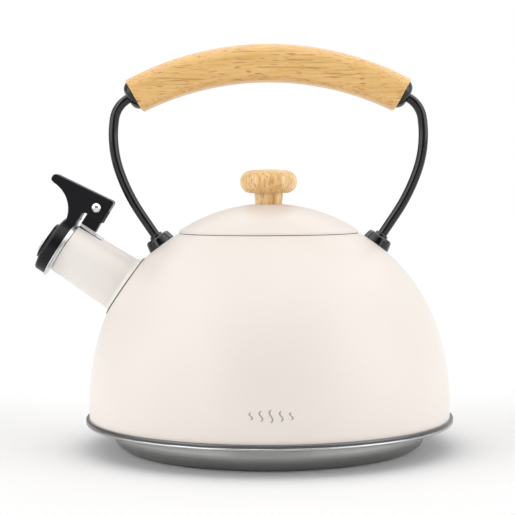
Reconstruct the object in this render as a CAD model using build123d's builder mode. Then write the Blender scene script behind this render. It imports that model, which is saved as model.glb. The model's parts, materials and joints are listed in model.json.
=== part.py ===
from build123d import *
from math import radians, sin, sqrt
import os

# Stovetop whistling kettle in millimetres, +Z up.  The origin is the centre of the flat
# underside, the body is round about Z, and the spout points towards -X.

# Body
SHEET = 0.7  # thickness of the drawn steel sheets
WALL_R = 98.1  # outside of the dome at its foot
DOME_FOOT_Z = 14.2
DOME_STRAIGHT_Z = 22.6  # where the wall starts to lean inwards
DOME_ARCS = ((147.0, 11.8), (98.8, 21.1), (91.3, 27.6))  # radius and turn of each stretch
NECK_R = 44.3  # inside of the lid opening
NECK_LOW_Z = 109.0
LEDGE_ROUND = 3.0  # from the dome's side onto the lid's ledge
NECK_ROUND = 1.0

# Base
BEAD_R = 100.0  # outside of the rolled seam at the dome's foot
BEAD_LOW_Z = 13.6
BEAD_HIGH_Z = 16.8
PAN_R = 85.0
CORNER_R = 8.5  # rounding from the underside to the pan's wall
COVER_HIGH_Z = 12.7  # top edge of the cover, close under the seam
PAN_SHEET = 0.6
PAN_FLOOR_Z = 4.0  # underside of the pan, on top of the heat spreader
SPREADER_R = 75.5

# Lid
LID_R = 48.7
LID_SPHERE_R = 89.0
LID_TOP_Z = 132.2
LID_ROUND = 1.2
SEAT_R = 7.9  # pressed flat under the knob
SEAT_EDGE_R = 8.7
SEAT_Z = 131.3
COLLAR_R = 43.9
COLLAR_LOW_Z = 108.6
SCREW_R = 2.0

# Knob
WASHER_R = 7.2
KNOB_FOOT_Z = 131.7
STEM_TOP_Z = 137.8
STEM_LOW_R = 7.4  # over the corners of the eight-sided stem
STEM_HIGH_R = 7.9
STEM_TWIST = -10.0  # degrees
KNOB_R = 15.5
KNOB_EDGE_R = 6.2
KNOB_SCREW_UP = 11.0

# Spout: u runs out along its axis from the mouth, w across it and up
MOUTH = Vector(-110.7, 0, 108.6)
SPOUT_RISE = 33.2  # degrees above horizontal
LIP_R = 14.4
SPOUT_FOOT_R = 15.7
SPOUT_FOOT_U = -35.2
FLARE_R = 18.2
FLARE_U = -38.6
SPOUT_SHEET = 0.8
SEAL = 0.4  # thickness of the ring between flare and dome
SPOUT_HOLE_R = 14.0
SPOUT_HOLE_DEEP = 60.0  # from the mouth, past the dome's wall

# Whistle and its hinge, in (u, w)
PIN_AT = (-2.7, 27.7)
PIN_R = 1.5
PIN_PLAY = 0.06
PIN_HEAD_R = 2.6
LEVER_HALF = 6.5  # half the lever's width along Y
LEVER_EDGE = 0.5  # rounding of its long edges
TIP_ROUND = 1.8
REAR_ROUND = 1.5
SLOT_HALF = 4.3  # half the slot between its cheeks
POST_HALF = 4.1
EYE_R = 4.2
SPRING_SLOT_HALF = 2.3
CAP_W = -2.05  # the cap sits a little low on the mouth
CAP_R = 16.1
CAP_BACK_U = 2.2
CAP_EDGE_U = 8.9  # front of the cap's rounded rim
CAP_STEP_U = 9.7
CAP_STEP_R = 10.4  # raised ring round the whistle's front cup
CAP_FRONT_U = 11.0
INSERT_R = 7.9  # bore of the cap for the whistle's front cup
PLATE_R = 16.7
PLATE_U = 1.5
PLUG_R = 13.9
THROAT_R = 10.4
FRONT_PLATE_R = 8.7
SOUND_HOLE_R = 2.5
TONGUE_SHEET = 0.6
TONGUE_HALF = 2.5
TONGUE_LOW_W = 13.5
TONGUE_TOP_W = 20.3
RIVET_W = 17.5
RIVET_R = 1.0
RIVET_DEEP = 4.0
SADDLE_FRONT_U = -0.3
SADDLE_BACK_U = -14.5
SADDLE_SHEET = 0.6
SADDLE_SPAN = 37.0  # degrees round the spout
PAD_LOW_W = 13.6  # before the spout's round is taken out of the pad
POST_FRONT_U = -0.1
POST_BACK_U = -9.2
POST_FOOT_W = 16.1  # top of the pad under the post
POST_SCREW_U = -4.6
POST_SCREW_R = 1.4
POST_SCREW_DEEP = 5.0
WIRE_R = 0.3
COIL_R = 2.5
COIL_PITCH = 0.8
COIL_TURNS = 3.5

# Handle, right-hand side
ROD_R = 2.6
FOOT_AT = Vector(58.3, 0, 109.9)  # where the rod's axis meets the dome
FOOT_LEAN = 34.0  # degrees from vertical
ROD_TAIL = 6.2  # threaded end inside the dome
ROD_STRAIGHT = 19.8
ROD_ARCS = ((100.2, 14.9), (60.4, 27.9), (15.0, 51.9))
CAP_GAP = 3.9  # from the last bend to the grip's end face
GRIP_SOCKET = 14.0
GRIP_TOP_Z = 218.3
GRIP_LOW_Z = 198.3
GRIP_TOP_R = 163.9
GRIP_LOW_R = 154.0
GRIP_HALF = 11.0  # half the grip's width along Y
GRIP_TOP_ROUND = 7.0
GRIP_LOW_ROUND = 5.0
GRIP_REACH = 90.0  # blank, before its ends are cut
FERRULE_R = 8.1
FERRULE_HIGH = 3.9
FOOT_R = 7.8
FOOT_TOP_R = 6.6
FOOT_HIGH = 5.3
FOOT_BURIED = 4.0  # before the dome's round is taken out of the foot
INNER_SEAL_R = 6.4
INNER_SEAL_LOW = -2.2
WASHER_LOW = -3.0
INNER_WASHER_R = 5.6
NUT_ACROSS_R = 4.6
NUT_LOW = -6.0

ALONG = Vector(1, 0, 0).rotate(Axis.Y, 180 + SPOUT_RISE)  # the u direction
SIDE = Plane(origin=MOUTH, x_dir=ALONG, z_dir=(0, 1, 0))  # (u, w) drawing plane
SPOUT_AXIS = Axis(MOUTH, ALONG)
CAP_AXIS = Axis(SIDE.from_local_coords((0, CAP_W, 0)), ALONG)
PIN_AXIS = Axis(SIDE.from_local_coords((*PIN_AT, 0)), (0, 1, 0))

LEAN = Vector(0, 0, 1).rotate(Axis.Y, FOOT_LEAN)
FOOT_SIDE = Plane(origin=FOOT_AT, x_dir=LEAN.rotate(Axis.Y, 90), z_dir=(0, -1, 0))
FOOT_AXIS = Axis(FOOT_AT, LEAN)

os.makedirs("parts", exist_ok=True)


def save(part, name):
    part.label = name
    export_step(part, f"parts/{name}.step")


def edge_near(part, point):
    """The edge of an open part that passes closest to a point."""
    return part.edges().sort_by_distance(point)[0]


def arc_height(top, radius, across):
    """Height of a circle with its top on the centre line, some way across."""
    return top - radius + sqrt(radius**2 - across**2)


def crown_height(radius, rise):
    """How far a low spherical head stands above its edge, half way in from the edge."""
    sphere_r = (radius**2 + rise**2) / (2 * rise)
    return arc_height(rise, sphere_r, radius / 2)


def dome_side(inset):
    """Draw the dome's side, moved inwards, and give the point where it reaches the ledge."""
    stretch = Line((WALL_R - inset, DOME_FOOT_Z), (WALL_R - inset, DOME_STRAIGHT_Z))
    for radius, turn in DOME_ARCS:
        stretch = JernArc(stretch @ 1, stretch % 1, radius - inset, turn)
    return stretch @ 1


def solid_dome(inset):
    """The space inside the dome's surface, as one solid for trimming other pieces."""
    with BuildPart() as solid:
        with BuildSketch(Plane.XZ):
            with BuildLine():
                top = dome_side(inset)
                Polyline(top, (0, top.Y), (0, DOME_FOOT_Z), (WALL_R - inset, DOME_FOOT_Z))
            make_face()
        revolve(axis=Axis.Z)
    return solid.part


DOME = solid_dome(0)
DOME_WITH_SEAL = solid_dome(-SEAL)
DOME_INSIDE = solid_dome(SHEET)
LEDGE_Z = DOME.bounding_box().max.Z  # the lid rests here


# ---------------------------------------------------------------- body and base

with BuildPart() as body_dome:
    with BuildSketch(Plane.XZ):
        with BuildLine():
            ledge = dome_side(0)
            under = dome_side(SHEET)
            Polyline(
                ledge,
                (NECK_R, ledge.Y),
                (NECK_R, NECK_LOW_Z),
                (NECK_R + SHEET, NECK_LOW_Z),
                (NECK_R + SHEET, under.Y),
                under,
            )
            Line((WALL_R, DOME_FOOT_Z), (WALL_R - SHEET, DOME_FOOT_Z))
        make_face()
    revolve(axis=Axis.Z)
    fillet(edge_near(body_dome, (0, ledge.X, ledge.Y)), LEDGE_ROUND)
    fillet(edge_near(body_dome, (0, NECK_R, ledge.Y)), NECK_ROUND)
    with BuildSketch(Plane(origin=MOUTH, z_dir=-ALONG)):
        Circle(SPOUT_HOLE_R)
    extrude(amount=SPOUT_HOLE_DEEP, mode=Mode.SUBTRACT)
    for sign in (1, -1):
        with BuildSketch(Plane((sign * FOOT_AT.X, 0, FOOT_AT.Z), z_dir=(sign * LEAN.X, 0, LEAN.Z))):
            Circle(ROD_R)
        extrude(amount=ROD_TAIL, both=True, mode=Mode.SUBTRACT)
save(body_dome.part, "body_dome")

with BuildPart() as base_pan:
    joggle_z = COVER_HIGH_Z + PAN_SHEET / 2
    ridge_r = (BEAD_HIGH_Z - BEAD_LOW_Z) / 4
    inner_r = PAN_R - PAN_SHEET
    bend_r = 4.5
    with BuildSketch(Plane.XZ):
        with BuildLine():
            Polyline(
                (0, PAN_FLOOR_Z),
                (inner_r - bend_r, PAN_FLOOR_Z),
            )
            bend = JernArc((inner_r - bend_r, PAN_FLOOR_Z), (1, 0), bend_r, 90)
            Polyline(
                bend @ 1,
                (inner_r, COVER_HIGH_Z),
                (PAN_R, joggle_z),
                (PAN_R, BEAD_LOW_Z),
                (BEAD_R - ridge_r, BEAD_LOW_Z),
            )
            low = JernArc((BEAD_R - ridge_r, BEAD_LOW_Z), (1, 0), ridge_r, 140)
            high = JernArc((BEAD_R - ridge_r, BEAD_HIGH_Z), (1, 0), ridge_r, -140)
            Line(low @ 1, high @ 1)
            Polyline(
                (BEAD_R - ridge_r, BEAD_HIGH_Z),
                (WALL_R, BEAD_HIGH_Z),
                (WALL_R, DOME_FOOT_Z),
                (inner_r, DOME_FOOT_Z),
                (inner_r, joggle_z),
                (inner_r - PAN_SHEET, joggle_z),
            )
            inside = JernArc(
                (inner_r - bend_r, PAN_FLOOR_Z + PAN_SHEET), (1, 0), bend_r - PAN_SHEET, 90
            )
            Line(inside @ 1, (inner_r - PAN_SHEET, joggle_z))
            Polyline(
                (inner_r - bend_r, PAN_FLOOR_Z + PAN_SHEET),
                (0, PAN_FLOOR_Z + PAN_SHEET),
                (0, PAN_FLOOR_Z),
            )
        make_face()
    revolve(axis=Axis.Z)
save(base_pan.part, "base_pan")

with BuildPart() as heat_spreader:
    with BuildSketch(Plane.XY.offset(PAN_SHEET)):
        Circle(SPREADER_R)
    extrude(amount=PAN_FLOOR_Z - PAN_SHEET)
    chamfer(heat_spreader.edges().group_by(Axis.Z)[0], 0.5)
save(heat_spreader.part, "heat_spreader")

with BuildPart() as base_cover:
    flat_r = PAN_R - CORNER_R
    with BuildSketch(Plane.XZ):
        with BuildLine():
            outside = JernArc((flat_r, 0), (1, 0), CORNER_R, 90)
            inside = JernArc((flat_r, PAN_SHEET), (1, 0), CORNER_R - PAN_SHEET, 90)
            Polyline(
                outside @ 1,
                (PAN_R, COVER_HIGH_Z),
                (PAN_R - PAN_SHEET, COVER_HIGH_Z),
                inside @ 1,
            )
            Polyline((flat_r, 0), (0, 0), (0, PAN_SHEET), (flat_r, PAN_SHEET))
        make_face()
    revolve(axis=Axis.Z)
save(base_cover.part, "base_cover")

# ---------------------------------------------------------------- spout

with BuildPart() as spout_tube:
    with BuildSketch(SIDE):
        with BuildLine():
            Polyline((0, LIP_R - SPOUT_SHEET), (0, LIP_R), (SPOUT_FOOT_U, SPOUT_FOOT_R))
            ThreePointArc(
                (SPOUT_FOOT_U, SPOUT_FOOT_R),
                (SPOUT_FOOT_U - 2.3, SPOUT_FOOT_R + 0.85),
                (FLARE_U, FLARE_R),
            )
            Polyline(
                (FLARE_U, FLARE_R),
                (FLARE_U - 7, FLARE_R),
                (FLARE_U - 7, FLARE_R - SPOUT_SHEET),
                (FLARE_U - 0.6, FLARE_R - SPOUT_SHEET),
            )
            ThreePointArc(
                (FLARE_U - 0.6, FLARE_R - SPOUT_SHEET),
                (SPOUT_FOOT_U - 2.6, SPOUT_FOOT_R + 0.1),
                (SPOUT_FOOT_U - 0.3, SPOUT_FOOT_R - SPOUT_SHEET),
            )
            Line((SPOUT_FOOT_U - 0.3, SPOUT_FOOT_R - SPOUT_SHEET), (0, LIP_R - SPOUT_SHEET))
        make_face()
    revolve(axis=SPOUT_AXIS)
    lip = spout_tube.edges().filter_by(GeomType.CIRCLE).group_by(SPOUT_AXIS)[-1]
    fillet(lip, 0.3)
    with BuildSketch(Plane(SIDE.from_local_coords((POST_SCREW_U, 0, 0)), z_dir=SIDE.y_dir)):
        Circle(POST_SCREW_R)
    extrude(amount=LIP_R + POST_SCREW_DEEP, mode=Mode.SUBTRACT)
    add(DOME_WITH_SEAL, mode=Mode.SUBTRACT)
save(spout_tube.part, "spout_tube")

with BuildPart() as spout_seal_ring:
    with BuildSketch(SIDE):
        with Locations((FLARE_U - 1, FLARE_R - 0.55)):
            Rectangle(8, 1.3)
    revolve(axis=SPOUT_AXIS)
    add(DOME_WITH_SEAL, mode=Mode.INTERSECT)
    add(DOME, mode=Mode.SUBTRACT)
save(spout_seal_ring.part, "spout_seal_ring")


def spout_surface(u):
    """Outside radius of the spout's straight part."""
    return LIP_R + (SPOUT_FOOT_R - LIP_R) * u / SPOUT_FOOT_U


with BuildPart() as spout_saddle:
    with BuildSketch(SIDE):
        front, back = SADDLE_FRONT_U, SADDLE_BACK_U
        Polygon(
            (front, spout_surface(front)),
            (front, spout_surface(front) + SADDLE_SHEET),
            (back, spout_surface(back) + SADDLE_SHEET),
            (back, spout_surface(back)),
            align=None,
        )
    revolve(axis=SPOUT_AXIS, revolution_arc=SADDLE_SPAN / 2)
    mirror(about=Plane.XZ)
    with BuildSketch(SIDE):
        Polygon(
            (POST_BACK_U, PAD_LOW_W),
            (POST_BACK_U, POST_FOOT_W),
            (SADDLE_FRONT_U, POST_FOOT_W),
            (SADDLE_FRONT_U, PAD_LOW_W),
            align=None,
        )
    extrude(amount=POST_HALF, both=True)
    with BuildSketch(SIDE):
        Polygon((0, 0), (0, LIP_R), (SPOUT_FOOT_U, SPOUT_FOOT_R), (SPOUT_FOOT_U, 0), align=None)
    revolve(axis=SPOUT_AXIS, mode=Mode.SUBTRACT)
    with BuildSketch(Plane(SIDE.from_local_coords((POST_SCREW_U, 0, 0)), z_dir=SIDE.y_dir)):
        Circle(POST_SCREW_R)
    extrude(amount=LIP_R + POST_SCREW_DEEP, mode=Mode.SUBTRACT)
save(spout_saddle.part, "spout_saddle")

with BuildPart() as hinge_post:
    pin_u, pin_w = PIN_AT
    with BuildSketch(SIDE):
        Polygon(
            (POST_BACK_U, POST_FOOT_W),
            (POST_FRONT_U, POST_FOOT_W),
            (POST_FRONT_U, pin_w),
            (pin_u - 3.6, pin_w - 2.2),
            (POST_BACK_U + 0.4, pin_w - 5.4),
            align=None,
        )
        with Locations(PIN_AT):
            Circle(EYE_R)
    extrude(amount=POST_HALF, both=True)
    with BuildSketch(SIDE):
        with Locations((pin_u - 1, pin_w + 2)):
            Rectangle(14, 10.8)
    extrude(amount=SPRING_SLOT_HALF, both=True, mode=Mode.SUBTRACT)
    with BuildSketch(SIDE):
        with Locations(PIN_AT):
            Circle(PIN_R)
    extrude(amount=POST_HALF, both=True, mode=Mode.SUBTRACT)
    foot_plane = Plane(SIDE.from_local_coords((POST_SCREW_U, POST_FOOT_W, 0)), z_dir=SIDE.y_dir)
    with BuildSketch(foot_plane):
        Circle(POST_SCREW_R)
    extrude(amount=POST_SCREW_DEEP, mode=Mode.SUBTRACT)
save(hinge_post.part, "hinge_post")

with BuildPart() as post_screw:
    head_r, head_w, edge_w, rise = 2.6, 13.1, 12.5, 0.8
    with BuildSketch(SIDE):
        with BuildLine():
            Polyline(
                (POST_SCREW_U, edge_w - rise),
                (POST_SCREW_U, POST_FOOT_W + POST_SCREW_DEEP),
                (POST_SCREW_U + POST_SCREW_R, POST_FOOT_W + POST_SCREW_DEEP),
                (POST_SCREW_U + POST_SCREW_R, head_w),
                (POST_SCREW_U + head_r, head_w),
                (POST_SCREW_U + head_r, edge_w),
            )
            ThreePointArc(
                (POST_SCREW_U + head_r, edge_w),
                (POST_SCREW_U + head_r / 2, edge_w - crown_height(head_r, rise)),
                (POST_SCREW_U, edge_w - rise),
            )
        make_face()
    revolve(axis=Axis(foot_plane.origin, SIDE.y_dir))
save(post_screw.part, "post_screw")

with BuildPart() as hinge_pin:
    head_y = LEVER_HALF + 0.12
    edge_y, rise = head_y + 0.4, 1.4
    with BuildSketch(Plane(PIN_AXIS.position, x_dir=(0, 1, 0), z_dir=ALONG)):
        with BuildLine():
            Polyline(
                (0, 0),
                (0, PIN_R),
                (head_y, PIN_R),
                (head_y, PIN_HEAD_R),
                (edge_y, PIN_HEAD_R),
            )
            ThreePointArc(
                (edge_y, PIN_HEAD_R),
                (edge_y + crown_height(PIN_HEAD_R, rise), PIN_HEAD_R / 2),
                (edge_y + rise, 0),
            )
            Line((edge_y + rise, 0), (0, 0))
        make_face()
    revolve(axis=PIN_AXIS)
    mirror(about=Plane.XZ)
save(hinge_pin.part, "hinge_pin")


with BuildPart() as whistle_spring:
    coil_height = COIL_PITCH * COIL_TURNS
    coil_start = Plane(
        PIN_AXIS.position - Vector(0, coil_height / 2, 0), x_dir=-SIDE.y_dir, z_dir=(0, 1, 0)
    )
    with BuildLine():
        coil = Edge.make_helix(COIL_PITCH, coil_height, COIL_R).moved(coil_start.location)
        add(coil)
    with BuildSketch(Plane(coil @ 0, z_dir=coil % 0)):
        Circle(WIRE_R)
    sweep(is_frenet=True)
    for side, tip_w in ((-1, pin_w - COIL_R), (1, pin_w + 4.2)):
        leg_y = side * coil_height / 2
        tail = SIDE.from_local_coords((pin_u + WIRE_R / 2, pin_w + side * COIL_R, leg_y))
        tip = SIDE.from_local_coords((pin_u - 4.5, tip_w, leg_y))
        with BuildSketch(Plane(tail, z_dir=tip - tail)):
            Circle(WIRE_R)
        extrude(amount=(tip - tail).length)
save(whistle_spring.part, "whistle_spring")

# ---------------------------------------------------------------- whistle


def corner(sketch, at):
    """The vertex of an open sketch nearest to a point."""
    return sketch.vertices().sort_by_distance(at)[0]


with BuildPart() as whistle_lever:
    # side view of the finger lever, its cheeks and the neck down to the cap
    tip_low, tip_high = (26.7, 27.2), (26.3, 31.2)
    rear_top, rear_low = (-9.2, 35.6), (-9.6, 21.9)
    window_w = 22.2  # top of the gap between post and neck
    neck_front_u, neck_low_w = 7.6, 8.0
    with BuildSketch(SIDE) as lever_outline:
        with BuildLine():
            front = ThreePointArc((neck_front_u, 13.0), (12.4, 22.0), (23.6, 26.6))
            Polyline(
                front @ 1,
                tip_low,
                tip_high,
                rear_top,
                rear_low,
                (0.6, window_w),
                (CAP_BACK_U, window_w - 1.2),
                (CAP_BACK_U, neck_low_w),
                (neck_front_u, neck_low_w),
                front @ 0,
            )
        make_face()
        fillet([corner(lever_outline, at) for at in (tip_low, tip_high)], TIP_ROUND)
        fillet(corner(lever_outline, rear_top), REAR_ROUND)
    extrude(amount=LEVER_HALF, both=True)
    sides = whistle_lever.faces().filter_by(Axis.Y)
    fillet(sides.edges(), LEVER_EDGE)
    # round cap: a rounded rim, a gently sloping face and a raised ring
    rim_round, ring_round = 1.8, 0.6
    ring_edge = (CAP_FRONT_U, CAP_W + CAP_STEP_R - ring_round)
    ring_foot = (CAP_STEP_U, CAP_W + CAP_STEP_R)
    face_edge = (CAP_STEP_U, CAP_W + CAP_STEP_R + 0.5)
    with BuildSketch(SIDE):
        with BuildLine():
            rim = JernArc((CAP_EDGE_U - rim_round, CAP_W + CAP_R), (1, 0), rim_round, -70)
            Polyline(
                rim @ 0,
                (CAP_BACK_U, CAP_W + CAP_R),
                (CAP_BACK_U, CAP_W),
                (CAP_FRONT_U, CAP_W),
                ring_edge,
            )
            ring = JernArc(ring_edge, (0, 1), ring_round, 90)
            Polyline(ring @ 1, ring_foot, face_edge, rim @ 1)
        make_face()
    revolve(axis=CAP_AXIS)
    # bore for the whistle's front cup
    with BuildSketch(Plane(CAP_AXIS.position, z_dir=ALONG)):
        Circle(INSERT_R)
    extrude(amount=CAP_FRONT_U, mode=Mode.SUBTRACT)
    # slot for the post, open at the back and below
    eye_space = EYE_R + 0.4
    slot_back, slot_front = rear_low[0] - 1, POST_FRONT_U + 0.3
    slot_top = pin_w + 1.6
    spring_space_u = pin_u - 5.3
    with BuildSketch(SIDE):
        Polygon(
            (slot_back, neck_low_w),
            (slot_back, slot_top),
            (spring_space_u, slot_top),
            (spring_space_u, pin_w + eye_space),
            (pin_u, pin_w + eye_space),
            (slot_front, slot_top),
            (slot_front, neck_low_w),
            align=None,
        )
        with Locations(PIN_AT):
            Circle(eye_space)
    extrude(amount=SLOT_HALF, both=True, mode=Mode.SUBTRACT)
    with BuildSketch(SIDE):
        with Locations(PIN_AT):
            Circle(PIN_R + PIN_PLAY)
    extrude(amount=LEVER_HALF, both=True, mode=Mode.SUBTRACT)
    rivet_hole = Plane(SIDE.from_local_coords((CAP_BACK_U, RIVET_W, 0)), z_dir=ALONG)
    with BuildSketch(rivet_hole):
        Circle(RIVET_R)
    extrude(amount=RIVET_DEEP, mode=Mode.SUBTRACT)
save(whistle_lever.part, "whistle_lever")

with BuildPart() as whistle_front_plate:
    face_u = CAP_FRONT_U + 0.9
    skirt_u = CAP_BACK_U + 1.5
    with BuildSketch(SIDE):
        with BuildLine():
            Polyline(
                (face_u - PAN_SHEET, CAP_W),
                (face_u - PAN_SHEET, CAP_W + INSERT_R - PAN_SHEET),
                (skirt_u, CAP_W + INSERT_R - PAN_SHEET),
                (skirt_u, CAP_W + INSERT_R),
                (CAP_FRONT_U, CAP_W + INSERT_R),
                (CAP_FRONT_U, CAP_W + FRONT_PLATE_R),
            )
            ThreePointArc(
                (CAP_FRONT_U, CAP_W + FRONT_PLATE_R),
                (face_u - 0.35, CAP_W + FRONT_PLATE_R - 0.35),
                (face_u, CAP_W + FRONT_PLATE_R - 1.2),
            )
            Polyline(
                (face_u, CAP_W + FRONT_PLATE_R - 1.2), (face_u, CAP_W), (face_u - PAN_SHEET, CAP_W)
            )
        make_face()
    revolve(axis=CAP_AXIS)
    with BuildSketch(Plane(CAP_AXIS.position, z_dir=ALONG)):
        Circle(SOUND_HOLE_R)
    extrude(amount=face_u, mode=Mode.SUBTRACT)
save(whistle_front_plate.part, "whistle_front_plate")

with BuildPart() as whistle_rear_plate:
    with BuildSketch(SIDE):
        with Locations(((PLATE_U + CAP_BACK_U) / 2, CAP_W + PLATE_R / 2)):
            Rectangle(CAP_BACK_U - PLATE_U, PLATE_R)
    revolve(axis=CAP_AXIS)
    with BuildSketch(Plane(SIDE.from_local_coords((PLATE_U, 0, 0)), z_dir=ALONG)):
        Circle(PLUG_R - 0.7)
    extrude(amount=5, mode=Mode.SUBTRACT)
    # dished plug that closes the mouth, with a throat reaching into the spout
    with BuildSketch(SIDE):
        Polygon(
            (CAP_BACK_U, PLUG_R - 0.7),
            (CAP_BACK_U, PLUG_R),
            (PLATE_U, PLUG_R),
            (0.3, PLUG_R - 0.2),
            (0.3, THROAT_R),
            (-3.0, THROAT_R - 0.6),
            (-3.0, 0),
            (-2.4, 0),
            (-2.4, THROAT_R - 1.2),
            (0.9, THROAT_R - 0.6),
            (0.9, PLUG_R - 0.8),
            align=None,
        )
    revolve(axis=SPOUT_AXIS)
    with BuildSketch(SIDE):
        with Locations((CAP_BACK_U - TONGUE_SHEET / 2, (TONGUE_LOW_W + TONGUE_TOP_W) / 2)):
            Rectangle(TONGUE_SHEET, TONGUE_TOP_W - TONGUE_LOW_W)
    extrude(amount=TONGUE_HALF, both=True)
    for plane, radius in ((rivet_hole, RIVET_R), (Plane(CAP_AXIS.position, z_dir=ALONG), SOUND_HOLE_R)):
        with BuildSketch(plane):
            Circle(radius)
        extrude(amount=5, both=True, mode=Mode.SUBTRACT)
save(whistle_rear_plate.part, "whistle_rear_plate")

with BuildPart() as whistle_rivet:
    head_u = CAP_BACK_U - TONGUE_SHEET
    head_r, rise = 1.8, 0.3
    with BuildSketch(SIDE):
        with BuildLine():
            Polyline(
                (head_u - rise, RIVET_W),
                (CAP_BACK_U + RIVET_DEEP, RIVET_W),
                (CAP_BACK_U + RIVET_DEEP, RIVET_W + RIVET_R),
                (head_u, RIVET_W + RIVET_R),
                (head_u, RIVET_W + head_r),
            )
            ThreePointArc(
                (head_u, RIVET_W + head_r),
                (head_u - crown_height(head_r, rise), RIVET_W + head_r / 2),
                (head_u - rise, RIVET_W),
            )
        make_face()
    revolve(axis=Axis(rivet_hole.origin, ALONG))
save(whistle_rivet.part, "whistle_rivet")

# ---------------------------------------------------------------- lid and knob


def lid_height(radius, inset=0):
    return arc_height(LID_TOP_Z - inset, LID_SPHERE_R - inset, radius)


with BuildPart() as lid_shell:
    lip_r = LID_R - SHEET
    middle_r = (LID_R + SEAT_EDGE_R) / 2
    with BuildSketch(Plane.XZ):
        with BuildLine():
            Polyline(
                (SCREW_R, SEAT_Z - SHEET),
                (SCREW_R, SEAT_Z),
                (SEAT_R, SEAT_Z),
                (SEAT_EDGE_R, lid_height(SEAT_EDGE_R)),
            )
            ThreePointArc(
                (SEAT_EDGE_R, lid_height(SEAT_EDGE_R)),
                (middle_r, lid_height(middle_r)),
                (LID_R, lid_height(LID_R)),
            )
            Polyline(
                (LID_R, lid_height(LID_R)),
                (LID_R, LEDGE_Z),
                (lip_r, LEDGE_Z),
                (lip_r, lid_height(lip_r, SHEET)),
            )
            ThreePointArc(
                (lip_r, lid_height(lip_r, SHEET)),
                (middle_r, lid_height(middle_r, SHEET)),
                (SEAT_EDGE_R, lid_height(SEAT_EDGE_R, SHEET)),
            )
            Polyline(
                (SEAT_EDGE_R, lid_height(SEAT_EDGE_R, SHEET)),
                (SEAT_R, SEAT_Z - SHEET),
                (SCREW_R, SEAT_Z - SHEET),
            )
        make_face()
    revolve(axis=Axis.Z)
    fillet(edge_near(lid_shell, (0, LID_R, lid_height(LID_R))), LID_ROUND)
save(lid_shell.part, "lid_shell")

with BuildPart() as lid_collar:
    collar_in = COLLAR_R - PAN_SHEET
    with BuildSketch(Plane.XZ):
        Polygon(
            (collar_in, COLLAR_LOW_Z),
            (COLLAR_R, COLLAR_LOW_Z),
            (COLLAR_R, lid_height(COLLAR_R, SHEET)),
            (collar_in, lid_height(collar_in, SHEET)),
            align=None,
        )
    revolve(axis=Axis.Z)
save(lid_collar.part, "lid_collar")

with BuildPart() as knob_washer:
    with BuildSketch(Plane.XY.offset(SEAT_Z)):
        Circle(WASHER_R)
        Circle(SCREW_R, mode=Mode.SUBTRACT)
    extrude(amount=KNOB_FOOT_Z - SEAT_Z)
save(knob_washer.part, "knob_washer")

with BuildPart() as lid_knob:
    for height, radius in ((KNOB_FOOT_Z, STEM_LOW_R), (STEM_TOP_Z, STEM_HIGH_R)):
        with BuildSketch(Plane.XY.offset(height)):
            RegularPolygon(radius, 8, rotation=STEM_TWIST)
    loft()
    # button head: a rounded edge running into a low crown
    crown_turn = 6
    flat_r = KNOB_R - KNOB_EDGE_R
    with BuildSketch(Plane.XZ):
        with BuildLine():
            edge = JernArc((flat_r, STEM_TOP_Z), (1, 0), KNOB_EDGE_R, 180 - crown_turn)
            crown_r = (edge @ 1).X / sin(radians(crown_turn))
            crown = JernArc(edge @ 1, edge % 1, crown_r, crown_turn)
            Polyline(crown @ 1, (0, STEM_TOP_Z), (flat_r, STEM_TOP_Z))
        make_face()
    revolve(axis=Axis.Z)
    with BuildSketch(Plane.XY.offset(KNOB_FOOT_Z)):
        Circle(SCREW_R)
    extrude(amount=KNOB_SCREW_UP, mode=Mode.SUBTRACT)
save(lid_knob.part, "lid_knob")

with BuildPart() as knob_screw:
    head_z = SEAT_Z - SHEET
    head_r, edge_z, rise = 4.2, head_z - 0.9, 1.4
    with BuildSketch(Plane.XZ):
        with BuildLine():
            Polyline(
                (0, edge_z - rise),
                (0, KNOB_FOOT_Z + KNOB_SCREW_UP),
                (SCREW_R, KNOB_FOOT_Z + KNOB_SCREW_UP),
                (SCREW_R, head_z),
                (head_r, head_z),
                (head_r, edge_z),
            )
            ThreePointArc(
                (head_r, edge_z),
                (head_r / 2, edge_z - crown_height(head_r, rise)),
                (0, edge_z - rise),
            )
        make_face()
    revolve(axis=Axis.Z)
save(knob_screw.part, "knob_screw")

# ---------------------------------------------------------------- handle

with BuildPart() as handle_rod:
    with BuildLine(Plane.XZ):
        straight = Line(FOOT_AT - LEAN * ROD_TAIL, FOOT_AT + LEAN * ROD_STRAIGHT)
        bend = straight
        for radius, turn in ROD_ARCS:
            bend = JernArc(bend @ 1, bend % 1, radius, turn)
        inward = bend % 1
        grip_end = bend @ 1 + inward * CAP_GAP
        Line(bend @ 1, grip_end + inward * GRIP_SOCKET)
    with BuildSketch(Plane(straight @ 0, z_dir=LEAN)):
        Circle(ROD_R)
    sweep()

END = Plane(grip_end, z_dir=-inward)  # the grip's right-hand end face
END_AXIS = Axis(grip_end, -inward)

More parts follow.
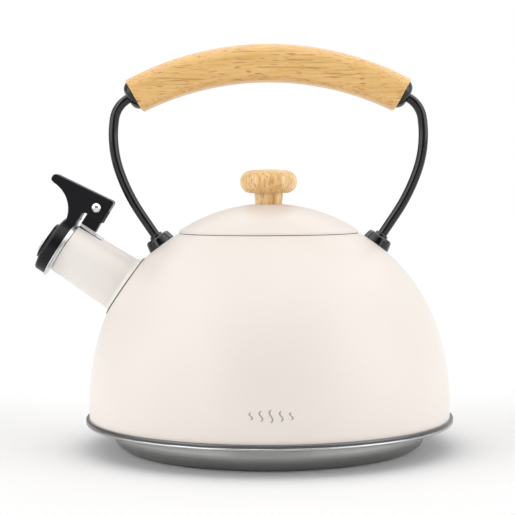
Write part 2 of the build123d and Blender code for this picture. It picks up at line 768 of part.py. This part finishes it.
with BuildPart() as handle_grip:
    with BuildSketch(Plane.XZ):
        with BuildLine():
            high = arc_height(GRIP_TOP_Z, GRIP_TOP_R, GRIP_REACH)
            low = arc_height(GRIP_LOW_Z, GRIP_LOW_R, GRIP_REACH)
            ThreePointArc((-GRIP_REACH, high), (0, GRIP_TOP_Z), (GRIP_REACH, high))
            ThreePointArc((-GRIP_REACH, low), (0, GRIP_LOW_Z), (GRIP_REACH, low))
            Line((-GRIP_REACH, high), (-GRIP_REACH, low))
            Line((GRIP_REACH, high), (GRIP_REACH, low))
        make_face()
    extrude(amount=GRIP_HALF, both=True)
    for height, rounding in ((GRIP_TOP_Z, GRIP_TOP_ROUND), (GRIP_LOW_Z, GRIP_LOW_ROUND)):
        for side in (1, -1):
            fillet(edge_near(handle_grip, (0, side * GRIP_HALF, height)), rounding)
    for end in (END, Plane((-END.origin.X, 0, END.origin.Z), z_dir=(-END.z_dir.X, 0, END.z_dir.Z))):
        split(bisect_by=end, keep=Keep.BOTTOM)
        with BuildSketch(end):
            Circle(ROD_R)
        extrude(amount=-GRIP_SOCKET, mode=Mode.SUBTRACT)
save(handle_grip.part, "handle_grip")

with BuildPart() as grip_cap:
    with BuildSketch(Plane(grip_end, x_dir=END.z_dir, z_dir=(0, 1, 0))):
        with BuildLine():
            Polyline((FERRULE_HIGH, ROD_R), (0, ROD_R), (0, FERRULE_R), (0.5, FERRULE_R))
            ThreePointArc((0.5, FERRULE_R), (3.0, 6.2), (FERRULE_HIGH, ROD_R))
        make_face()
    revolve(axis=END_AXIS)

with BuildPart() as handle_foot:
    with BuildSketch(FOOT_SIDE):
        with BuildLine():
            Polyline(
                (ROD_R, FOOT_HIGH + 1.4),
                (ROD_R, -FOOT_BURIED),
                (FOOT_R, -FOOT_BURIED),
                (FOOT_R, 0.6),
                (FOOT_TOP_R + 0.5, FOOT_HIGH - 1.5),
            )
            ThreePointArc(
                (FOOT_TOP_R + 0.5, FOOT_HIGH - 1.5),
                (FOOT_TOP_R, FOOT_HIGH - 0.5),
                (FOOT_TOP_R - 0.9, FOOT_HIGH),
            )
            Polyline(
                (FOOT_TOP_R - 0.9, FOOT_HIGH),
                (4.5, FOOT_HIGH),
                (4.3, FOOT_HIGH - 0.6),
                (3.7, FOOT_HIGH - 0.6),
                (3.6, FOOT_HIGH + 0.9),
            )
            ThreePointArc(
                (3.6, FOOT_HIGH + 0.9), (3.3, FOOT_HIGH + 1.3), (ROD_R, FOOT_HIGH + 1.4)
            )
        make_face()
    revolve(axis=FOOT_AXIS)
    add(DOME, mode=Mode.SUBTRACT)

with BuildPart() as handle_seal:
    with BuildSketch(FOOT_SIDE):
        with Locations(((ROD_R + INNER_SEAL_R) / 2, INNER_SEAL_LOW / 2 + 0.5)):
            Rectangle(INNER_SEAL_R - ROD_R, 1 - INNER_SEAL_LOW)
    revolve(axis=FOOT_AXIS)
    add(DOME_INSIDE, mode=Mode.INTERSECT)

with BuildPart() as handle_washer:
    with BuildSketch(FOOT_SIDE):
        with Locations(((ROD_R + INNER_WASHER_R) / 2, (INNER_SEAL_LOW + WASHER_LOW) / 2)):
            Rectangle(INNER_WASHER_R - ROD_R, INNER_SEAL_LOW - WASHER_LOW)
    revolve(axis=FOOT_AXIS)

with BuildPart() as handle_nut:
    nut_top = Plane(FOOT_AT + LEAN * WASHER_LOW, x_dir=(0, 1, 0), z_dir=-LEAN)
    nut_high = WASHER_LOW - NUT_LOW
    dome_r, rise = 3.8, 3.2
    with BuildSketch(nut_top):
        RegularPolygon(NUT_ACROSS_R, 6)
    extrude(amount=nut_high)
    with BuildSketch(FOOT_SIDE):
        with BuildLine():
            Polyline((0, NUT_LOW - rise), (0, NUT_LOW), (dome_r, NUT_LOW))
            ThreePointArc(
                (dome_r, NUT_LOW),
                (dome_r / 2, NUT_LOW - crown_height(dome_r, rise)),
                (0, NUT_LOW - rise),
            )
        make_face()
    revolve(axis=FOOT_AXIS)
    with BuildSketch(nut_top):
        Circle(ROD_R)
    extrude(amount=ROD_TAIL + WASHER_LOW, mode=Mode.SUBTRACT)

handle_side = {
    "handle_rod": handle_rod,
    "grip_cap": grip_cap,
    "handle_foot": handle_foot,
    "handle_seal": handle_seal,
    "handle_washer": handle_washer,
    "handle_nut": handle_nut,
}
for name, right in handle_side.items():
    with BuildPart() as left:
        mirror(right.part, about=Plane.YZ)
    save(right.part, f"{name}_right")
    save(left.part, f"{name}_left")
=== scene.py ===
import json
from math import radians, sin, sqrt, tau

import bmesh
import bpy
from mathutils import Matrix, Vector


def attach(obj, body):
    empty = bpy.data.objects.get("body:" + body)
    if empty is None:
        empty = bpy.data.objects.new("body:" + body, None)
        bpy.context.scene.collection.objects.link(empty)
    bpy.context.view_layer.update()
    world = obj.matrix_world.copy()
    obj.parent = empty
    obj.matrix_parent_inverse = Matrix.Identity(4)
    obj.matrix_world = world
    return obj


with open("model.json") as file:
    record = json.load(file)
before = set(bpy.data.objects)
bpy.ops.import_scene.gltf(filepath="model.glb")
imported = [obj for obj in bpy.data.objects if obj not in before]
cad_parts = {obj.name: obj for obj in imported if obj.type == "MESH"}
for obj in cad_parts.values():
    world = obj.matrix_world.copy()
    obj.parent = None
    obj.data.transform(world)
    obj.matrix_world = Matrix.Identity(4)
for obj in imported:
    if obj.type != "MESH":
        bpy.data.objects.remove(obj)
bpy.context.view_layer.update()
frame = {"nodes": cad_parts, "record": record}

nodes = frame["nodes"]
MM = 0.001

# Camera: in front of the kettle at the height of the lid's knob, as in a catalogue picture
CAMERA_AT = Vector((-6.2, -805.1, 140.7)) * MM
CAMERA_TILT = 2.7  # degrees down
CAMERA_ROLL = -0.25  # degrees
CAMERA_LENS = 103.16
CAMERA_SENSOR = 36

# Soft lights: name, direction from the kettle to the light, degrees across, strength
SOFTBOXES = (
    ("left_softbox", (-1.05, -0.55, 0.08), 70, 1.76),
    ("right_softbox", (1.05, -0.55, 0.12), 60, 1.54),
    ("top_softbox", (0, -0.1, 1.0), 40, 0.1),
)
FLOOR_HALF = 60.0  # metres, so that its edge is out of sight

# ---------------------------------------------------------------- node helpers

NOISE_RANGE = (0.3, 0.7)


def make(tree, kind, inputs=None, **settings):
    """Add a shader node.  An input is a value or another node's output."""
    made = tree.nodes.new("ShaderNode" + kind)
    for name, value in settings.items():
        setattr(made, name, value)
    for name, value in (inputs or {}).items():
        if isinstance(value, bpy.types.NodeSocket):
            tree.links.new(value, made.inputs[name])
        else:
            made.inputs[name].default_value = value
    return made


def place(tree, scale=(1, 1, 1)):
    """Coordinates of the piece itself, in millimetres when the scale is 1."""
    spot = make(tree, "TexCoord").outputs["Object"]
    mapping = make(tree, "Mapping", {"Vector": spot, "Scale": [s / MM for s in scale]})
    return mapping.outputs["Vector"]


def noise(tree, vector, scale, detail=2.0, rough=0.5, warp=0.0):
    inputs = {"Vector": vector, "Scale": scale, "Detail": detail}
    return make(tree, "TexNoise", {**inputs, "Roughness": rough, "Distortion": warp}).outputs["Fac"]


def ramp(tree, value, *stops):
    """Colours or levels along a value, from (place, colour) stops."""
    made = make(tree, "ValToRGB", {"Fac": value})
    elements = made.color_ramp.elements
    while len(elements) < len(stops):
        elements.new(0.5)
    for element, (at, colour) in zip(elements, stops):
        rgb = colour if isinstance(colour, tuple) else (colour, colour, colour)
        element.position = at
        element.color = (*rgb, 1)
    return made.outputs["Color"]


def span(tree, value, low, high, to_low=0.0, to_high=1.0):
    """Move a value from one range to another, held at both ends."""
    inputs = {"Value": value, "From Min": low, "From Max": high}
    return make(tree, "MapRange", {**inputs, "To Min": to_low, "To Max": to_high}).outputs["Result"]


def vary(tree, pattern, low=0.0, high=1.0):
    """Spread a noise pattern, most of which lies in NOISE_RANGE, from low to high."""
    return span(tree, pattern, *NOISE_RANGE, low, high)


def mix(tree, share, one, other, blend="MIX"):
    made = make(tree, "Mix", data_type="RGBA", blend_type=blend)
    for socket, value in ((0, share), (6, one), (7, other)):
        if isinstance(value, bpy.types.NodeSocket):
            tree.links.new(value, made.inputs[socket])
        else:
            made.inputs[socket].default_value = (*value, 1) if isinstance(value, tuple) else value
    return made.outputs[2]


def calc(tree, operation, one, other=0.0):
    made = make(tree, "Math", operation=operation)
    for socket, value in enumerate((one, other)):
        if isinstance(value, bpy.types.NodeSocket):
            tree.links.new(value, made.inputs[socket])
        else:
            made.inputs[socket].default_value = value
    return made.outputs[0]


def vector_calc(tree, operation, one, other=(0, 0, 0), out="Vector"):
    made = make(tree, "VectorMath", {0: one, 1: other}, operation=operation)
    return made.outputs[out]


def bump(tree, height, depth):
    """Surface relief, depth in millimetres."""
    inputs = {"Height": height, "Distance": depth * MM, "Strength": 1.0}
    return make(tree, "Bump", inputs).outputs["Normal"]


def material(name, paint, **constants):
    """A Principled material.  Paint is a function that returns the outputs to link to the
    shader's sockets, and constants are values set on the sockets themselves."""
    made = bpy.data.materials.new(name)
    made.use_nodes = True
    tree = made.node_tree
    shader = tree.nodes["Principled BSDF"]
    for socket, value in constants.items():
        shader.inputs[socket.replace("_", " ")].default_value = value
    for socket, output in paint(tree).items():
        tree.links.new(output, shader.inputs[socket])
    return made


# ---------------------------------------------------------------- materials

CREAM = (0.775, 0.714, 0.662)
# Spout cream: a cooler tone than the body's, and lighter as painted light for the bounce onto the
# spout's underside
SPOUT_CREAM = (0.83, 0.785, 0.745)
BARE_STEEL = (0.62, 0.62, 0.61)
# Painted shade: near black, for the shadow in the gap where the lid's rim sits on the dome
GAP_SHADE = (0.05, 0.05, 0.055)
CREAM_DRIFT = 0.985  # how far the cream darkens in broad clouds
STEEL_GRAIN = 1.25  # how much lighter the bare steel is along its grain

# Places on the kettle, in millimetres
DOME_CORE = (0.0, 0.0, 20.0)
LID_CORE = (0.0, 0.0, 60.0)
SPOUT_CORE = (-60.5, 0.0, 75.7)  # on the spout's axis, inside the dome
SPOUT_MOUTH = (-110.7, 0.0, 108.6)
SPOUT_WAY = (-0.83676, 0.0, 0.54756)
SADDLE_BAND_R = 15.05  # the saddle is band up to here and pad beyond; the band is painted near black as painted shade
SADDLE_BLEND = 0.2
SEAM_LOW_Z, SEAM_HIGH_Z = 13.4, 16.9
COVER_HIGH_Z = 12.7
# Painted shade on the lid's lower lip: its height above the lip's lowest point, and the blend at
# its top
GAP_SHADE_HIGH = 0.4
GAP_SHADE_BLEND = 0.1
LID_LOW_Z = min(corner.co.z for corner in nodes["lid_shell"].data.vertices) / MM


def facing_out(tree, core):
    """1 where the surface faces away from a point in millimetres, 0 where it faces it."""
    away = vector_calc(tree, "SUBTRACT", place(tree), core)
    normal = make(tree, "TexCoord").outputs["Normal"]
    facing = vector_calc(tree, "DOT_PRODUCT", normal, away, out="Value")
    return calc(tree, "GREATER_THAN", facing, 0.0)


def enamel(core, tint=CREAM, shade_z=0.0):
    """Cream enamel on the outside, bare steel on the faces that look at the core, and painted
    shade up to the given height: a dark band for the shadow in the gap under the lid's rim."""

    def paint(tree):
        fine = noise(tree, place(tree), 0.9, 3.0)
        broad = noise(tree, place(tree), 0.02, 2.0)
        drift = vary(tree, broad)
        grain = noise(tree, place(tree, (1, 1, 0.08)), 1.6, 3.0, 0.6)
        outside = facing_out(tree, core)
        cream = mix(tree, drift, tint, tuple(CREAM_DRIFT * c for c in tint))
        steel = mix(tree, grain, BARE_STEEL, tuple(STEEL_GRAIN * c for c in BARE_STEEL))
        satin = vary(tree, grain, 0.28, 0.38)
        height = make(tree, "SeparateXYZ", {"Vector": place(tree)}).outputs["Z"]
        # painted shade: dark below the given height, for the gap under the lid's rim
        gap_shade = span(tree, height, shade_z - GAP_SHADE_BLEND, shade_z, 1.0, 0.0)
        return {
            "Base Color": mix(tree, gap_shade, mix(tree, outside, steel, cream), GAP_SHADE),
            "Metallic": calc(tree, "SUBTRACT", 1.0, outside),
            "Roughness": mix(tree, outside, satin, vary(tree, broad, 0.36, 0.42)),
            "Normal": bump(tree, fine, 0.006),
        }

    return paint


def satin_steel(tree):
    grain = noise(tree, place(tree), 2.2, 4.0, 0.7)
    cloud = noise(tree, place(tree), 0.12, 2.0)
    return {
        "Base Color": mix(tree, vary(tree, grain), (0.50, 0.50, 0.495), (0.62, 0.62, 0.61)),
        "Roughness": vary(tree, cloud, 0.28, 0.38),
        "Normal": bump(tree, grain, 0.03),
    }


def seam_steel(tree):
    """Steel of the pan.  Its rolled seam has a painted highlight on its lower ridge, with painted
    shade under it and above it up to the dome.
    """
    spot = place(tree)
    height = make(tree, "SeparateXYZ", {"Vector": spot}).outputs["Z"]
    grain = noise(tree, spot, 2.2, 4.0, 0.7)
    wander = noise(tree, spot, 0.06, 2.0)
    level = calc(tree, "ADD", height, vary(tree, wander, -0.15, 0.15))
    share = span(tree, level, SEAM_LOW_Z, SEAM_HIGH_Z)
    # Painted light and shade on the seam, by height: a painted highlight on the lower ridge,
    # painted shade below and above it
    painted_ridge_highlight = ((0.0, 0.16), (0.10, 0.22), (0.18, 0.5), (0.40, 0.5))
    painted_seam_shade = ((0.48, 0.15), (0.85, 0.11), (0.95, 0.13))
    tone = ramp(tree, share, *painted_ridge_highlight, *painted_seam_shade)
    speckle = mix(tree, grain, (0.85, 0.85, 0.84), (1, 1, 1))
    return {
        "Base Color": mix(tree, 1.0, tone, speckle, "MULTIPLY"),
        "Roughness": vary(tree, grain, 0.2, 0.3),
        "Normal": bump(tree, grain, 0.02),
    }


def spun_steel(tree):
    """Steel with the fine rings of a spun base, darkened with painted shade towards the hob and
    towards the seam.
    """
    spot = make(tree, "SeparateXYZ", {"Vector": place(tree)})
    across = make(tree, "CombineXYZ", {"X": spot.outputs["X"], "Y": spot.outputs["Y"]})
    radius = vector_calc(tree, "LENGTH", across.outputs[0], out="Value")
    along = make(tree, "CombineXYZ", {"X": radius, "Z": spot.outputs["Z"]}).outputs[0]
    rings = noise(tree, along, 1.4, 3.0, 0.6)
    wear = noise(tree, place(tree), 0.05, 4.0, 0.6)
    tone = mix(tree, rings, (0.46, 0.46, 0.455), (0.60, 0.60, 0.59))
    height = span(tree, spot.outputs["Z"], 0.0, COVER_HIGH_Z)
    # painted shade: darker towards the hob and under the overhang of the seam
    painted_shade = ramp(tree, height, (0.0, 0.42), (0.25, 0.62), (0.6, 0.74), (0.85, 0.68), (1.0, 0.46))
    return {
        "Base Color": mix(tree, 1.0, tone, painted_shade, "MULTIPLY"),
        "Roughness": vary(tree, wear, 0.30, 0.44),
        "Normal": bump(tree, rings, 0.04),
    }


def saddle_steel(tree):
    """Bright pad over a band that grips the spout, with the band painted near black as painted
    shade.
    """
    reach = vector_calc(tree, "SUBTRACT", place(tree), SPOUT_MOUTH)
    along = vector_calc(tree, "DOT_PRODUCT", reach, SPOUT_WAY, out="Value")
    axis = make(tree, "VectorMath", {0: SPOUT_WAY, "Scale": along}, operation="SCALE").outputs[0]
    off = vector_calc(tree, "SUBTRACT", reach, axis)
    distance = vector_calc(tree, "LENGTH", off, out="Value")
    pad = span(tree, distance, SADDLE_BAND_R, SADDLE_BAND_R + SADDLE_BLEND)
    grain = noise(tree, place(tree), 2.2, 3.0, 0.6)
    bright = mix(tree, grain, (0.66, 0.66, 0.65), (0.76, 0.76, 0.75))
    return {
        # painted shade: the band is near black, the pad beyond it bright steel
        "Base Color": mix(tree, pad, (0.035, 0.035, 0.037), bright),
        "Roughness": vary(tree, grain, 0.25, 0.35),
        "Normal": bump(tree, grain, 0.01),
    }


def pressed_steel(tree):
    """Thin bright plate with a soft sheen."""
    grain = noise(tree, place(tree), 1.6, 3.0, 0.6)
    return {
        "Base Color": mix(tree, grain, (0.62, 0.62, 0.63), (0.74, 0.74, 0.74)),
        "Roughness": vary(tree, grain, 0.34, 0.42),
        "Normal": bump(tree, grain, 0.01),
    }


def mirror_steel(tree):
    smear = noise(tree, place(tree), 0.8, 3.0)
    return {
        "Base Color": mix(tree, smear, (0.70, 0.70, 0.70), (0.80, 0.80, 0.79)),
        "Roughness": vary(tree, smear, 0.05, 0.1),
        "Normal": bump(tree, smear, 0.004),
    }


def aluminium(tree):
    grain = noise(tree, place(tree), 3.3, 4.0, 0.7)
    cloud = noise(tree, place(tree), 0.18, 2.0)
    return {
        "Base Color": mix(tree, cloud, (0.62, 0.62, 0.63), (0.72, 0.72, 0.73)),
        "Roughness": vary(tree, grain, 0.4, 0.55),
        "Normal": bump(tree, grain, 0.02),
    }


def moulded_black(tree):
    """Black nylon with the fine texture of its mould."""
    grain = noise(tree, place(tree), 3.0, 3.0, 0.6)
    cloud = noise(tree, place(tree), 0.25, 2.0)
    return {
        "Base Color": mix(tree, cloud, (0.0045, 0.0042, 0.0055), (0.0075, 0.007, 0.009)),
        "Roughness": vary(tree, grain, 0.26, 0.36),
        "Normal": bump(tree, grain, 0.03),
    }


def lacquer(low, high):
    """Black gloss, with its roughness between low and high."""

    def paint(tree):
        smear = noise(tree, place(tree), 0.5, 3.0)
        return {
            "Base Color": mix(tree, smear, (0.003, 0.003, 0.004), (0.006, 0.006, 0.007)),
            "Roughness": vary(tree, smear, low, high),
            "Normal": bump(tree, smear, 0.006),
        }

    return paint


def rubber(tree):
    grain = noise(tree, place(tree), 2.0, 4.0, 0.7)
    return {
        "Base Color": mix(tree, grain, (0.035, 0.035, 0.037), (0.06, 0.06, 0.06)),
        "Roughness": vary(tree, grain, 0.55, 0.7),
        "Normal": bump(tree, grain, 0.02),
    }


def print_ink(tree):
    grain = noise(tree, place(tree), 3.0, 3.0, 0.6)
    return {
        "Base Color": mix(tree, grain, (0.30, 0.30, 0.31), (0.36, 0.36, 0.37)),
        "Roughness": vary(tree, grain, 0.45, 0.55),
    }


def beech(stretch, size, marks, dark, middle, light, fleck):
    """Lacquered beech.  Stretch is 1 across the grain and small along it.  A larger size
    makes the figure coarser, and marks is how strong its brown flecks are."""

    def figure(tree, scale, along, detail=3.0, rough=0.6, warp=0.0):
        grain = place(tree, [s if s == 1 else s * along for s in stretch])
        return noise(tree, grain, scale / size, detail, rough, warp)

    def paint(tree):
        drift = figure(tree, 0.25, 1.0, 2.0, 0.5)
        streak = figure(tree, 0.9, 1.0, 3.0, 0.6, 0.5)
        hair = figure(tree, 3.2, 0.8, 2.0)
        dash = figure(tree, 2.0, 1.5, 1.0, 0.4, 0.2)
        line = figure(tree, 1.5, 0.7, 1.0, 0.4, 0.3)
        speck = noise(tree, place(tree), 2.4, 2.0, 0.6)
        base = ramp(tree, streak, (0.28, dark), (0.5, middle), (0.74, light))
        toned = mix(tree, span(tree, drift, 0.35, 0.65, 0.0, 0.5), base, light)
        combed = mix(tree, span(tree, hair, 0.52, 0.70, 0.0, 0.3), toned, dark)
        lined = mix(tree, span(tree, line, 0.62, 0.72, 0.0, 0.7 * marks), combed, fleck)
        pores = span(tree, dash, 0.62, 0.70, 0.0, marks)
        flecked = mix(tree, pores, lined, fleck)
        dotted = mix(tree, span(tree, speck, 0.62, 0.72, 0.0, 0.25), flecked, light)
        relief = calc(tree, "SUBTRACT", streak, pores)
        return {
            "Base Color": dotted,
            "Roughness": vary(tree, streak, 0.42, 0.52),
            "Normal": bump(tree, relief, 0.04),
        }

    return paint


grip_beech = beech(
    stretch=(0.05, 1, 1),
    size=1.0,
    marks=0.95,
    dark=(0.62, 0.35, 0.10),
    middle=(0.72, 0.43, 0.14),
    light=(0.80, 0.52, 0.205),
    fleck=(0.40, 0.17, 0.055),
)
knob_beech = beech(
    stretch=(1, 1, 0.12),
    size=2.0,
    marks=0.8,
    dark=(0.55, 0.28, 0.075),
    middle=(0.74, 0.46, 0.165),
    light=(0.88, 0.66, 0.37),
    fleck=(0.46, 0.20, 0.06),
)

LACQUER_COAT = {"Coat_Weight": 0.35, "Coat_Roughness": 0.35}

# Finishes by the record's material slot, and those of nodes that have their own
finishes = {
    "painted_steel": material("cream_enamel", enamel(DOME_CORE)),
    "bright_steel": material("satin_steel", satin_steel, Metallic=1.0),
    "polished_steel": material("mirror_steel", mirror_steel, Metallic=1.0),
    "aluminium": material("aluminium", aluminium, Metallic=1.0),
    "black_plastic": material("moulded_black", moulded_black, Specular_IOR_Level=0.22),
    "black_gloss": material("black_gloss", lacquer(0.10, 0.16)),
    "black_rod": material("black_rod", lacquer(0.12, 0.18)),
    "beech": material("grip_beech", grip_beech, **LACQUER_COAT),
    "grey_seal": material("grey_rubber", rubber),
    "spring_steel": material("spring_steel", mirror_steel, Metallic=1.0),
}
pressed = material("pressed_steel", pressed_steel, Metallic=1.0)
own_finishes = {
    "base_pan": material("seam_steel", seam_steel, Metallic=1.0),
    "spout_saddle": material("saddle_steel", saddle_steel, Metallic=1.0),
    "whistle_front_plate": pressed,
    "whistle_rear_plate": pressed,
    "base_cover": material("spun_steel", spun_steel, Metallic=1.0),
    "lid_shell": material("lid_enamel", enamel(LID_CORE, shade_z=LID_LOW_Z + GAP_SHADE_HIGH)),
    "spout_tube": material("spout_enamel", enamel(SPOUT_CORE, SPOUT_CREAM)),
    "lid_knob": material("knob_beech", knob_beech, **LACQUER_COAT),
}

for part in frame["record"]["subparts"]:
    shape = nodes[part["node"]]
    shape.data.materials.clear()
    shape.data.materials.append(own_finishes.get(part["node"], finishes[part["material_slot"]]))
    for face in shape.data.polygons:
        face.material_index = 0

# ---------------------------------------------------------------- printed mark

# In millimetres
MARK_Z = 30.6  # height of its middle
STROKE_HIGHS = (3.8, 5.4, 6.6, 5.4, 3.8)
STROKE_GAP = 4.9
STROKE_HALF = 0.42  # half its width
STROKE_TIP = 0.15  # share of the width that is left at its ends
STROKE_SWAY = 0.75
STROKE_STEPS = 32
TIP_POWER = 12  # how late a stroke narrows to its ends
FILM = 0.05  # above the enamel, and as far below
IN_FRONT_Y = -120.0  # clear of the dome


def printed_mark():
    """Five small wavy strokes of steam printed low on the front of the dome, as a thin film."""
    dome = nodes["body_dome"]
    made = bmesh.new()
    for number, high in enumerate(STROKE_HIGHS):
        middle_x = (number - len(STROKE_HIGHS) // 2) * STROKE_GAP
        sections = []
        for step in range(STROKE_STEPS + 1):
            share = step / STROKE_STEPS
            full = sqrt(max(0.0, 1 - abs(2 * share - 1) ** TIP_POWER))
            reach = STROKE_HALF * (full * (1 - STROKE_TIP) + STROKE_TIP)
            x = middle_x + STROKE_SWAY * sin(tau * share)
            z = MARK_Z + (share - 0.5) * high
            corners = []
            for side in (-1, 1):
                start = Vector((x + side * reach, IN_FRONT_Y, z)) * MM
                _, at, normal, _ = dome.ray_cast(start, (0, 1, 0))
                corners.append((at + normal * FILM * MM, at - normal * FILM * MM))
            (near_l, far_l), (near_r, far_r) = corners
            sections.append([made.verts.new(c) for c in (near_l, near_r, far_r, far_l)])
        for one, other in zip(sections, sections[1:]):
            for k in range(4):
                made.faces.new((one[k], one[(k + 1) % 4], other[(k + 1) % 4], other[k]))
        made.faces.new(sections[0][::-1])
        made.faces.new(sections[-1])
    bmesh.ops.recalc_face_normals(made, faces=made.faces)
    data = bpy.data.meshes.new("printed_mark")
    made.to_mesh(data)
    made.free()
    data.materials.append(material("print_ink", print_ink))
    shape = bpy.data.objects.new("printed_mark", data)
    bpy.context.scene.collection.objects.link(shape)
    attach(shape, "body")


printed_mark()

# ---------------------------------------------------------------- stage


def floor():
    data = bpy.data.meshes.new("floor")
    sides = ((-1, -1), (1, -1), (1, 1), (-1, 1))
    corners = [(x * FLOOR_HALF, y * FLOOR_HALF, 0) for x, y in sides]
    data.from_pydata(corners, [], [(0, 1, 2, 3)])
    made = bpy.data.objects.new("floor", data)
    bpy.context.scene.collection.objects.link(made)

    def pale(tree):
        cloud = noise(tree, place(tree), 0.02, 3.0)
        return {"Base Color": mix(tree, cloud, (0.90, 0.90, 0.90), (0.92, 0.92, 0.92))}

    data.materials.append(material("pale_floor", pale, Roughness=0.9, Specular_IOR_Level=0.0))


def soft_light(name, towards, spread, strength):
    """A large soft light a long way off; towards points from the kettle to the light."""
    data = bpy.data.lights.new(name, "SUN")
    data.angle = radians(spread)
    data.energy = strength
    made = bpy.data.objects.new(name, data)
    made.rotation_euler = Vector(towards).to_track_quat("Z", "Y").to_euler()
    made.visible_camera = False
    bpy.context.scene.collection.objects.link(made)


def surroundings():
    """A white studio, plain white where it is seen.  Its front is dark and its sides are a
    little brighter.  What glossy surfaces mirror has a wider dark front, a bright ceiling, a
    strip light on the left and a dimmer left wall."""
    world = bpy.data.worlds.new("white_room")
    bpy.context.scene.world = world
    world.use_nodes = True
    tree = world.node_tree
    tree.nodes.clear()
    path = make(tree, "LightPath").outputs
    way = make(tree, "TexCoord").outputs["Generated"]
    towards = make(tree, "SeparateXYZ", {"Vector": way}).outputs
    above = span(tree, towards["Z"], 0.0, 1.0, 1.34, 1.12)
    front = span(tree, towards["Y"], -0.45, -0.85, 1.0, 0.12)
    sides = span(tree, calc(tree, "ABSOLUTE", towards["X"]), 0.4, 0.9, 1.0, 1.25)
    room = calc(tree, "MULTIPLY", calc(tree, "MULTIPLY", above, front), sides)
    mirrored_front = span(tree, towards["Y"], -0.35, -0.68, 1.0, 0.04)
    left_to_right = span(tree, towards["X"], -0.3, 0.5, 0.55, 1.1)
    walls = calc(tree, "MULTIPLY", mirrored_front, left_to_right)
    ceiling = span(tree, towards["Z"], 0.45, 0.7, 0.0, 2.3)
    strip_left = span(tree, towards["X"], -0.70, -0.66, 0.0, 2.6)
    strip_right = span(tree, towards["X"], -0.60, -0.56, 1.0, 0.0)
    in_front = calc(tree, "LESS_THAN", towards["Y"], 0.0)
    strip = calc(tree, "MULTIPLY", calc(tree, "MULTIPLY", strip_left, strip_right), in_front)
    mirrored = calc(tree, "ADD", calc(tree, "ADD", walls, ceiling), strip)
    strength = mix(tree, path["Is Glossy Ray"], room, mirrored)
    lit = make(tree, "Background", {"Strength": strength})
    seen = make(tree, "Background", {"Color": (1, 1, 1, 1), "Strength": 1.0})
    choice = make(tree, "MixShader", {0: path["Is Camera Ray"]})
    tree.links.new(lit.outputs[0], choice.inputs[1])
    tree.links.new(seen.outputs[0], choice.inputs[2])
    out = make(tree, "OutputWorld")
    tree.links.new(choice.outputs[0], out.inputs[0])


def camera():
    data = bpy.data.cameras.new("camera")
    data.lens = CAMERA_LENS
    data.sensor_width = CAMERA_SENSOR
    made = bpy.data.objects.new("camera", data)
    tilt = Matrix.Rotation(radians(90 - CAMERA_TILT), 4, "X")
    roll = Matrix.Rotation(radians(CAMERA_ROLL), 4, "Z")
    made.matrix_world = Matrix.Translation(CAMERA_AT) @ tilt @ roll
    bpy.context.scene.collection.objects.link(made)
    bpy.context.scene.camera = made


camera()
floor()
surroundings()
for softbox in SOFTBOXES:
    soft_light(*softbox)
bpy.context.scene.view_settings.view_transform = "Standard"
